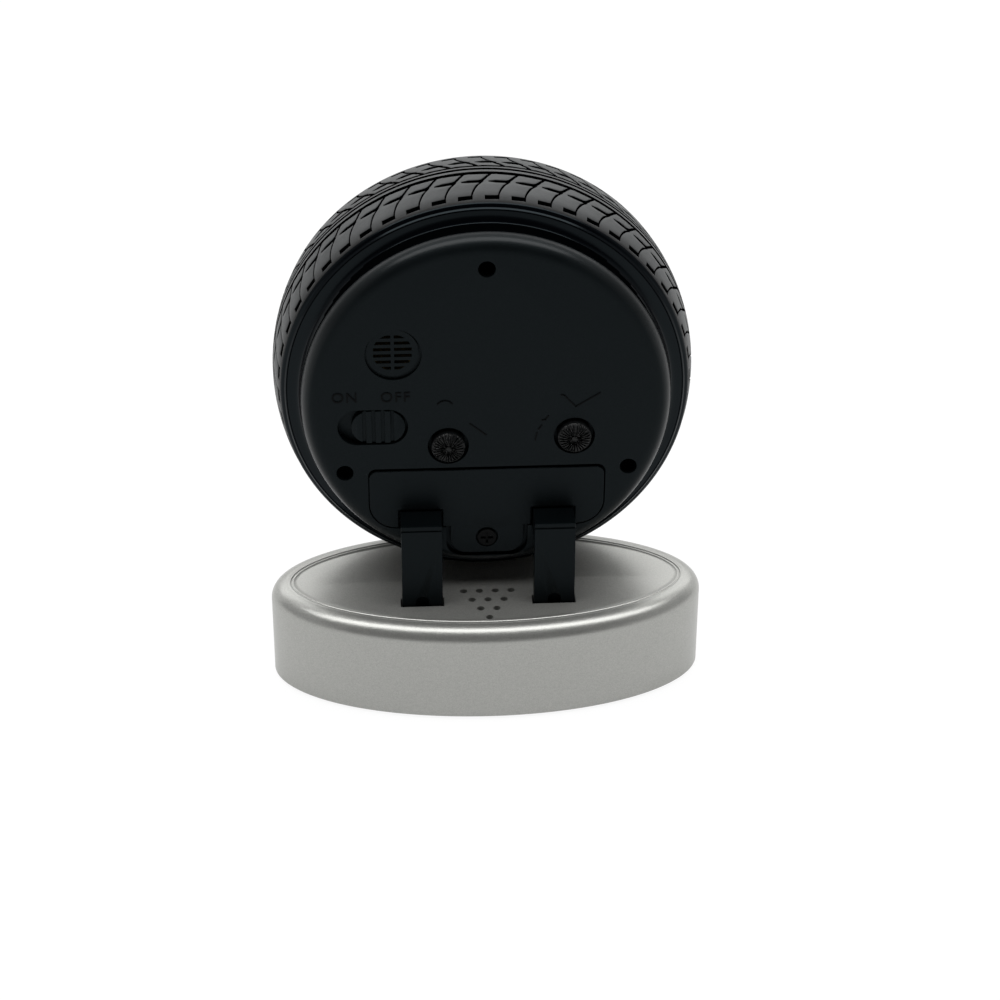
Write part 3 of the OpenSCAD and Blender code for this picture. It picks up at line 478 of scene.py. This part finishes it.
def wallPoints():
    # rear shoulder, wall and slit, the bore, then the front wall and shoulder
    spec = tyreSpec
    half, edge, end, steps = spec["half"], spec["wallEdge"], spec["wallEnd"], spec["slitSteps"]
    rearEdge, frontEdge = spec["middle"] + spec["rearTread"], spec["middle"] - spec["frontTread"]
    inset, drop = spec["boreEdge"]
    rear = [(crownRadius(rearEdge), rearEdge), *wallSpec["rear"], (edge, end)]
    rear += [(edge - spec["slitStep"] * i, end + (half - end) * i / steps) for i in range(1, steps + 1)]
    rear += [(spec["bore"] + inset, half), (spec["bore"], half - drop)]
    front = [(crownRadius(frontEdge), frontEdge), *wallSpec["front"], (edge, -half)]
    front += [(spec["bore"] + inset, -half), (spec["bore"], drop - half)]
    return rear + front[::-1]


def shadeSlit(bm):
    # the slit behind the cover's edge lies in shade, in a crescent that is widest at the top
    spec = tyreSpec
    outer, slope = spec["slitShade"]
    for face in bm.faces:
        mid = face.calc_center_median()
        far = math.hypot(mid.x, mid.y)
        deep = (mid.z - spec["wallEnd"]) / (spec["half"] - spec["wallEnd"])
        inSlit = face.material_index == tyrePaint["wall"] and deep > 0.0 and far < spec["wallEdge"]
        if inSlit and mid.y > (outer - slope * deep) * far:
            face.material_index = tyrePaint["groove"]


def buildTyre():
    spec = tyreSpec
    whole = spinProfile(wallPoints(), grooveSpec["lanes"] * spec["pitches"], False)
    for face in whole.faces:
        face.material_index = tyrePaint["wall"]
    for front in (False, True):
        half = treadHalf(front)
        scratch = bpy.data.meshes.new("scratch")
        half.to_mesh(scratch)
        half.free()
        whole.from_mesh(scratch)
        bpy.data.meshes.remove(scratch)
    bmesh.ops.remove_doubles(whole, verts=whole.verts[:], dist=mergeSpec["tread"])
    bmesh.ops.recalc_face_normals(whole, faces=whole.faces[:])
    low = [f for f in whole.faces if f.material_index == tyrePaint["groove"]]
    made = bmesh.ops.extrude_face_region(whole, geom=low)["geom"]
    bmesh.ops.delete(whole, geom=[f for f in low if f.is_valid], context="FACES_ONLY")
    for v in (g for g in made if isinstance(g, bmesh.types.BMVert)):
        r = math.hypot(v.co.x, v.co.y)
        v.co = (v.co.x * (r - spec["depth"]) / r, v.co.y * (r - spec["depth"]) / r, v.co.z)
    # floors of the grooves and the sides that meet them get painted shade, darker than the blocks
    floors = {f for f in made if isinstance(f, bmesh.types.BMFace)}
    for face in whole.faces:
        if any(other in floors for e in face.edges for other in e.link_faces):
            face.material_index = tyrePaint["groove"]
    blockEdge = {tyrePaint["tread"], tyrePaint["groove"]}
    rim = [e for e in whole.edges
           if len(e.link_faces) == 2 and {f.material_index for f in e.link_faces} == blockEdge]
    shadeSlit(whole)
    bmesh.ops.bevel(whole, geom=rim, offset=spec["rim"], offset_type="OFFSET", segments=2, profile=0.5,
                    affect="EDGES", material=tyrePaint["tread"], clamp_overlap=True)
    ring = addPiece("tyreRing", whole, treadBlack, "case", ("tyre",), headFrame, 40)
    ring.data.materials.append(paintedShadeBlack)
    ring.data.materials.append(sidewallShadeAndBlueSheen)


buildTyre()
print("tyre built")

# mouldings at the rear
coverSpec = {"sideRadius": 43.6, "sideTilt": 0.05}
grilleSpec = {"centre": (-22.0, 15.2), "radius": 6.4, "proud": 0.2, "level": -0.3}


def sinkGrille(bm):
    # the disc of the grille lies a little below the face
    spec, place = grilleSpec, headPlace
    for v in bm.verts:
        u, up, w = -v.co.x / mm, v.co.z / mm - place["headZ"], v.co.y / mm - place["tyreY"]
        far = math.hypot(u - spec["centre"][0], up - spec["centre"][1])
        if w > place["coverW"] + spec["proud"] and far < spec["radius"]:
            v.co.y = (place["coverW"] + spec["level"] + place["tyreY"]) * mm


def shadeSide(cover):
    # the cover's outer side faces the slit of the tyre and lies in shade
    cover.data.materials.append(paintedShadeBlack)
    for poly in cover.data.polygons:
        far = math.hypot(poly.center.x, poly.center.z - headPlace["headZ"] * mm)
        if abs(poly.normal.y) < coverSpec["sideTilt"] and far > coverSpec["sideRadius"] * mm:
            poly.material_index = 1


shadeSide(softCopy("coverMoulding", "rear_cover", coverShell, "case",
                   width=0.15, reshape=sinkGrille))
softCopy("doorMoulding", "battery_door", coverBlack, "door", width=0.2)
softCopy("armLeft", "left_arm", armBlack, "case", width=0.13)
softCopy("armRight", "right_arm", armBlack, "case", width=0.13)
softCopy("sliderButton", "switch_slider", coverBlack, "slider", width=0.12)
softCopy("knobAlarm", "alarm_knob", knobBlack, "alarm_setter", width=0.05, segments=1)
softCopy("knobTime", "time_knob", knobBlack, "time_setter", width=0.05, segments=1)
softCopy("doorScrewHead", "door_screw", darkScrew, "door_fastener", width=0.06, segments=1)
print("mouldings built")

# low marks moulded on the cover: lines, one arc and two plain words
markSpec = {"rise": 0.18, "width": 0.26, "wordHeight": 2.7, "sizeForHeight": 1.37, "spacing": 1.15,
            "words": (("ON", (-36.6, 2.4)), ("OFF", (-25.1, 2.3))),
            "arc": {"centre": (-9.9, 0.2), "radius": 2.1, "start": 35, "end": 145, "count": 8},
            "lines": (((-4.0, -4.1), (-0.2, -7.2)),
                      ((17.5, 3.1), (18.2, 3.0), (21.0, -0.1), (26.7, 3.4)),
                      ((14.5, -2.5), (13.9, -3.4), (13.1, -3.6)),
                      ((13.0, -5.0), (12.3, -6.0)),
                      ((11.9, -7.0), (11.5, -8.9)))}


def textMesh(word, size, rise, spacing=1.0, centred=True):
    curve = bpy.data.curves.new(word, "FONT")
    curve.body = word
    curve.size = size
    curve.extrude = rise
    curve.space_character = spacing
    if centred:
        curve.align_x = "CENTER"
        curve.align_y = "CENTER"
    scratch = bpy.data.objects.new(word, curve)
    scene.collection.objects.link(scratch)
    graph = bpy.context.evaluated_depsgraph_get()
    flat = bpy.data.meshes.new_from_object(scratch.evaluated_get(graph))
    bpy.data.objects.remove(scratch)
    bpy.data.curves.remove(curve)
    return flat


def addStroke(bm, points):
    spec = markSpec
    for (x0, y0), (x1, y1) in zip(points, points[1:]):
        run = math.hypot(x1 - x0, y1 - y0)
        bar = bmesh.ops.create_cube(bm, size=1.0)["verts"]
        bmesh.ops.scale(bm, verts=bar, vec=(run + spec["width"], spec["width"], spec["rise"] * 2))
        turn = Matrix.Rotation(math.atan2(y1 - y0, x1 - x0), 4, "Z")
        spot = Matrix.Translation(((x0 + x1) / 2, (y0 + y1) / 2, headPlace["coverW"]))
        bmesh.ops.transform(bm, matrix=spot @ turn, verts=bar)


def buildMarks():
    spec = markSpec
    bm = bmesh.new()
    for line in (*spec["lines"], arcPoints(**spec["arc"])):
        addStroke(bm, line)
    addPiece("coverLines", bm, markBlack, "case")
    for word, (u, v) in spec["words"]:
        size = spec["wordHeight"] * spec["sizeForHeight"]
        flat = textMesh(word, size, spec["rise"], spec["spacing"], False)
        bm = bmesh.new()
        bm.from_mesh(flat)
        bpy.data.meshes.remove(flat)
        bmesh.ops.remove_doubles(bm, verts=bm.verts[:], dist=mergeSpec["drawn"])
        bmesh.ops.translate(bm, verts=bm.verts[:], vec=(u, v, headPlace["coverW"]))
        addPiece("word" + word.title(), bm, markBlack, "case")


buildMarks()
print("marks built")

# dial: ticks round its edge and the twelve numbers, read from the front
dialSpec = {"face": -4.4, "rise": 0.1, "tickEnd": 37.6, "longTick": (3.2, 0.9), "shortTick": (1.7, 0.4),
            "numberRadius": 29.6, "numberSize": 8.2}


def buildDial():
    spec = dialSpec
    bm = bmesh.new()
    for minute in range(60):
        run, width = spec["longTick"] if minute % 5 == 0 else spec["shortTick"]
        bar = bmesh.ops.create_cube(bm, size=1.0)["verts"]
        bmesh.ops.scale(bm, verts=bar, vec=(width, run, 2 * spec["rise"]))
        spot = Matrix.Translation((0, spec["tickEnd"] - run / 2, spec["face"]))
        turn = Matrix.Rotation(math.radians(6 * minute), 4, "Z")
        bmesh.ops.transform(bm, matrix=turn @ spot, verts=bar)
    for hour in range(1, 13):
        flat = textMesh(str(hour), spec["numberSize"], spec["rise"])
        angle, far = math.radians(30 * hour), spec["numberRadius"]
        spot = Matrix.Translation((-far * math.sin(angle), far * math.cos(angle), spec["face"]))
        flat.transform(spot @ Matrix.Diagonal((-1, 1, -1, 1)))
        bm.from_mesh(flat)
        bpy.data.meshes.remove(flat)
    bmesh.ops.remove_doubles(bm, verts=bm.verts[:], dist=mergeSpec["drawn"])
    addPiece("dialMarks", bm, printWhite, "case")


buildDial()
print("dial built")

# base: a shell spun from its section, then drawn out to an oval
baseSpec = {"halfWidth": 53.0, "halfDepth": 24.7, "height": 25.0, "edge": 4.0, "wall": 2.2, "deck": 2.2,
            "innerEdge": 2.4, "foot": 0.4, "footEdge": 0.35, "sideLevels": (8.0, 15.0), "deckDrop": 0.02,
            "steps": 240, "edgeSteps": 14, "innerSteps": 5}
# fine double bead round the deck: distance inwards from the rounded edge, and height
baseBead = ((0.2, 0.0), (0.35, 0.07), (0.55, 0.1), (0.75, 0.06), (0.88, -0.06), (1.0, -0.09), (1.12, -0.06),
            (1.25, 0.06), (1.45, 0.1), (1.65, 0.06), (1.8, -0.02), (2.6, -0.02))
soundSpec = {"diameter": 1.8, "pitch": 3.9, "centreY": 11.9, "rows": 4, "cutZ": 24, "cutDepth": 6}
armSlot = {"x": 16.0, "y": 10.5, "width": 10.6, "depth": 3.8, "cutZ": 24, "cutDepth": 10}
seatSpec = {"gap": 0.3, "cutOver": 2, "steps": 40}


def buildBase():
    spec = baseSpec
    edge, height, wall = spec["edge"], spec["height"], spec["wall"]
    half, halfDepth = spec["halfWidth"], spec["halfDepth"]
    foot, footEdge, ceiling = spec["foot"], spec["footEdge"], height - spec["deck"]
    # section as (distance inwards from the outer wall, height)
    path = [(half, ceiling), (edge + spec["innerEdge"], ceiling)]
    path += arcPoints((edge, height - edge), edge - wall, 90, 180, spec["innerSteps"])
    path += [(wall, foot), (footEdge, foot), (0.0, foot + footEdge)]
    path += [(0.0, level) for level in spec["sideLevels"]]
    path += arcPoints((edge, height - edge), edge, 180, 90, spec["edgeSteps"])
    path += [(edge + inwards, height + rise) for inwards, rise in baseBead]
    path += [(half, height - spec["deckDrop"])]
    bm = spinProfile([(half - inwards, level) for inwards, level in path], spec["steps"])
    # the round plan becomes an oval whose rings keep their distance from its edge
    for v in bm.verts:
        r = math.hypot(v.co.x, v.co.y)
        if r > mergeSpec["axis"]:
            turn = math.atan2(v.co.y, v.co.x)
            out = Vector((math.cos(turn) / half, math.sin(turn) / halfDepth)).normalized() * (half - r)
            v.co = (half * math.cos(turn) - out.x, halfDepth * math.sin(turn) - out.y, v.co.z)
    return bm


def cutterMesh(parts, place):
    bm = bmesh.new()
    for kind, size, spot in parts:
        if kind == "round":
            radius, depth = size
            res = bmesh.ops.create_cone(bm, cap_ends=True, segments=seatSpec["steps"],
                                        radius1=radius, radius2=radius, depth=depth)
        else:
            res = bmesh.ops.create_cube(bm, size=1.0)
            bmesh.ops.scale(bm, verts=res["verts"], vec=size)
        bmesh.ops.translate(bm, verts=res["verts"], vec=spot)
    bmesh.ops.transform(bm, matrix=place, verts=bm.verts[:])
    mesh = bpy.data.meshes.new("cutter")
    bm.to_mesh(mesh)
    bm.free()
    obj = bpy.data.objects.new("cutter", mesh)
    scene.collection.objects.link(obj)
    return obj


def carve(obj, parts, place, sharp=30):
    cutter = cutterMesh(parts, place)
    mod = obj.modifiers.new("carve", "BOOLEAN")
    mod.object = cutter
    mod.operation = "DIFFERENCE"
    mod.solver = "EXACT"
    graph = bpy.context.evaluated_depsgraph_get()
    cut = bpy.data.meshes.new_from_object(obj.evaluated_get(graph))
    obj.modifiers.clear()
    old = obj.data
    obj.data = cut
    bpy.data.meshes.remove(old)
    bpy.data.objects.remove(cutter)
    smoothBy(obj.data, sharp)


def deckHoles():
    # sound holes in a triangle of rows, and a slot for each arm
    sound, slot = soundSpec, armSlot
    holes = []
    last = sound["rows"] - 1
    for row in range(sound["rows"]):
        y = sound["centreY"] + (row - last / 2) * sound["pitch"]
        for k in range(sound["rows"] - row):
            x = (k - (last - row) / 2) * sound["pitch"]
            holes.append(("round", (sound["diameter"] / 2, sound["cutDepth"]), (x, y, sound["cutZ"])))
    for side in (-1, 1):
        size = (slot["width"], slot["depth"], slot["cutDepth"])
        holes.append(("box", size, (side * slot["x"], slot["y"], slot["cutZ"])))
    return holes


baseShell = addPiece("baseShell", buildBase(), silverPaint, "case", ("base_shell",),
                     worldFrame, 34)
carve(baseShell, deckHoles(), worldFrame)
# seat of the tyre in the deck
seatSize = (tyreSpec["radius"] + seatSpec["gap"], 2 * tyreSpec["half"] + seatSpec["cutOver"])
carve(baseShell, [("round", seatSize, (0, 0, 0))], headFrame)
print("base built")

# solids that keep their own shape
solidPaint = (
    (coverBlack, ("base_plate", "front_case")),
    (foamBlack, ("base_pad",)),
    # the screw heads sunk in the cover's holes take the painted-shade black
    (paintedShadeBlack, ("cover_screws",)),
    (conePaper, ("speaker_frame", "speaker_cone")),
    (boardGreen, ("sound_board", "circuit_board")),
    (windingCopper, ("coil",)),
    (cellSleeve, ("battery",)),
    (bezelSilver, ("bezel",)),
    (clearLens, ("lens",)),
    (dialBlack, ("dial",)),
    (handWhite, ("hour_hand", "minute_hand")),
    (handRed, ("second_hand", "alarm_hand")),
    (turnedBrass, ("buzzer", "centre_wheel", "cannon_pinion")),
    (gearCream, ("front_plate", "middle_plate", "rear_plate", "intermediate_wheel", "second_wheel",
                 "third_wheel", "motion_wheel", "hour_wheel", "alarm_wheel", "alarm_arbor", "time_arbor")),
    (screwSteel, ("base_screws", "arm_screws", "plate_screws", "ear_screws", "speaker_magnet", "stator",
                  "rotor", "quartz_crystal", "switch_body", "battery_contact", "battery_spring")))
for paint, names in solidPaint:
    for name in names:
        slots = solids[name].data.materials
        slots.clear()
        slots.append(paint)
print("solids painted")

# floor that glows for the camera and in mirrors, so that it stays as pale as the photograph's
floorSpec = {"size": 6.0, "drop": 0.0002, "colour": (0.95, 0.95, 0.95, 1), "rough": 0.9, "specular": 0.1,
             "glow": 1.04,
             "rays": (("Is Camera Ray", 0.88), ("Is Transmission Ray", 0.88), ("Is Glossy Ray", 0.62))}


def floorMaterial():
    mat, nodes, links, shader = newMaterial("paleFloor", floorSpec["rough"], 0.0, floorSpec["specular"])
    shader.inputs["Base Color"].default_value = floorSpec["colour"]
    glow = nodes.new("ShaderNodeEmission")
    glow.inputs["Color"].default_value = (1, 1, 1, 1)
    glow.inputs["Strength"].default_value = floorSpec["glow"]
    path = nodes.new("ShaderNodeLightPath")
    blend = nodes.new("ShaderNodeMixShader")
    share = None
    for ray, weight in floorSpec["rays"]:
        part = nodes.new("ShaderNodeMath")
        part.operation = "MULTIPLY_ADD"
        part.inputs[1].default_value = weight
        part.inputs[2].default_value = 0.0
        links.new(path.outputs[ray], part.inputs[0])
        if share:
            links.new(share, part.inputs[2])
        share = part.outputs[0]
    links.new(share, blend.inputs["Fac"])
    links.new(shader.outputs["BSDF"], blend.inputs[1])
    links.new(glow.outputs["Emission"], blend.inputs[2])
    links.new(blend.outputs["Shader"], nodes["Material Output"].inputs["Surface"])
    return mat


bm = bmesh.new()
bmesh.ops.create_grid(bm, x_segments=1, y_segments=1, size=floorSpec["size"])
floorMesh = bpy.data.meshes.new("paleFloor")
bm.to_mesh(floorMesh)
bm.free()
floorMesh.materials.append(floorMaterial())
floor = bpy.data.objects.new("paleFloor", floorMesh)
floor.location.z = -floorSpec["drop"]
scene.collection.objects.link(floor)

# world: white screen at the dial side and below, paler walls at the sides, dim room behind the camera
roomSpec = {"room": 0.05, "sides": 0.4, "screen": 1.0,
            "screenEdge": (-0.1, -0.45), "belowEdge": (0.06, 0.0), "sidesEdge": (0.45, 0.85)}


def worldMath(nodes, links, operation, *sources):
    node = nodes.new("ShaderNodeMath")
    node.operation = operation
    for source, socket in zip(sources, node.inputs):
        links.new(source, socket)
    return node.outputs[0]


def buildWorld():
    spec, unit = roomSpec, (0.0, 1.0)
    world = bpy.data.worlds.new("studio")
    scene.world = world
    world.use_nodes = True
    nodes, links = world.node_tree.nodes, world.node_tree.links
    coord = nodes.new("ShaderNodeTexCoord")
    split = nodes.new("ShaderNodeSeparateXYZ")
    links.new(coord.outputs["Generated"], split.inputs["Vector"])
    ahead = mapBetween(nodes, links, split.outputs["Y"], spec["screenEdge"], unit, True)
    below = mapBetween(nodes, links, split.outputs["Z"], spec["belowEdge"], unit)
    white = worldMath(nodes, links, "MAXIMUM", ahead, below)
    level = mapBetween(nodes, links, white, unit, (spec["room"], spec["screen"]))
    flank = worldMath(nodes, links, "ABSOLUTE", split.outputs["X"])
    sides = mapBetween(nodes, links, flank, spec["sidesEdge"], (0.0, spec["sides"]), True)
    back = nodes["Background"]
    back.inputs["Color"].default_value = (1, 1, 1, 1)
    links.new(worldMath(nodes, links, "MAXIMUM", sides, level), back.inputs["Strength"])


buildWorld()

# lights in metres and watts
lampSpec = {"overhead": {"place": (0.0, 0.08, 0.8), "aim": (0, 0, 0.06), "size": (1.25, 0.35), "power": 6.0},
            "behind": {"place": (0.0, -0.69, 0.64), "aim": (0, 0, 0.08), "size": (1.6, 0.4), "power": 2.6}}


def softbox(name, place, aim, size, power):
    data = bpy.data.lights.new(name, "AREA")
    data.shape = "RECTANGLE"
    data.size, data.size_y = size
    data.energy = power
    lamp = bpy.data.objects.new(name, data)
    lamp.location = place
    lamp.rotation_euler = (Vector(aim) - Vector(place)).to_track_quat("-Z", "Y").to_euler()
    scene.collection.objects.link(lamp)


for name, lamp in lampSpec.items():
    softbox(name, **lamp)
print("stage lit")
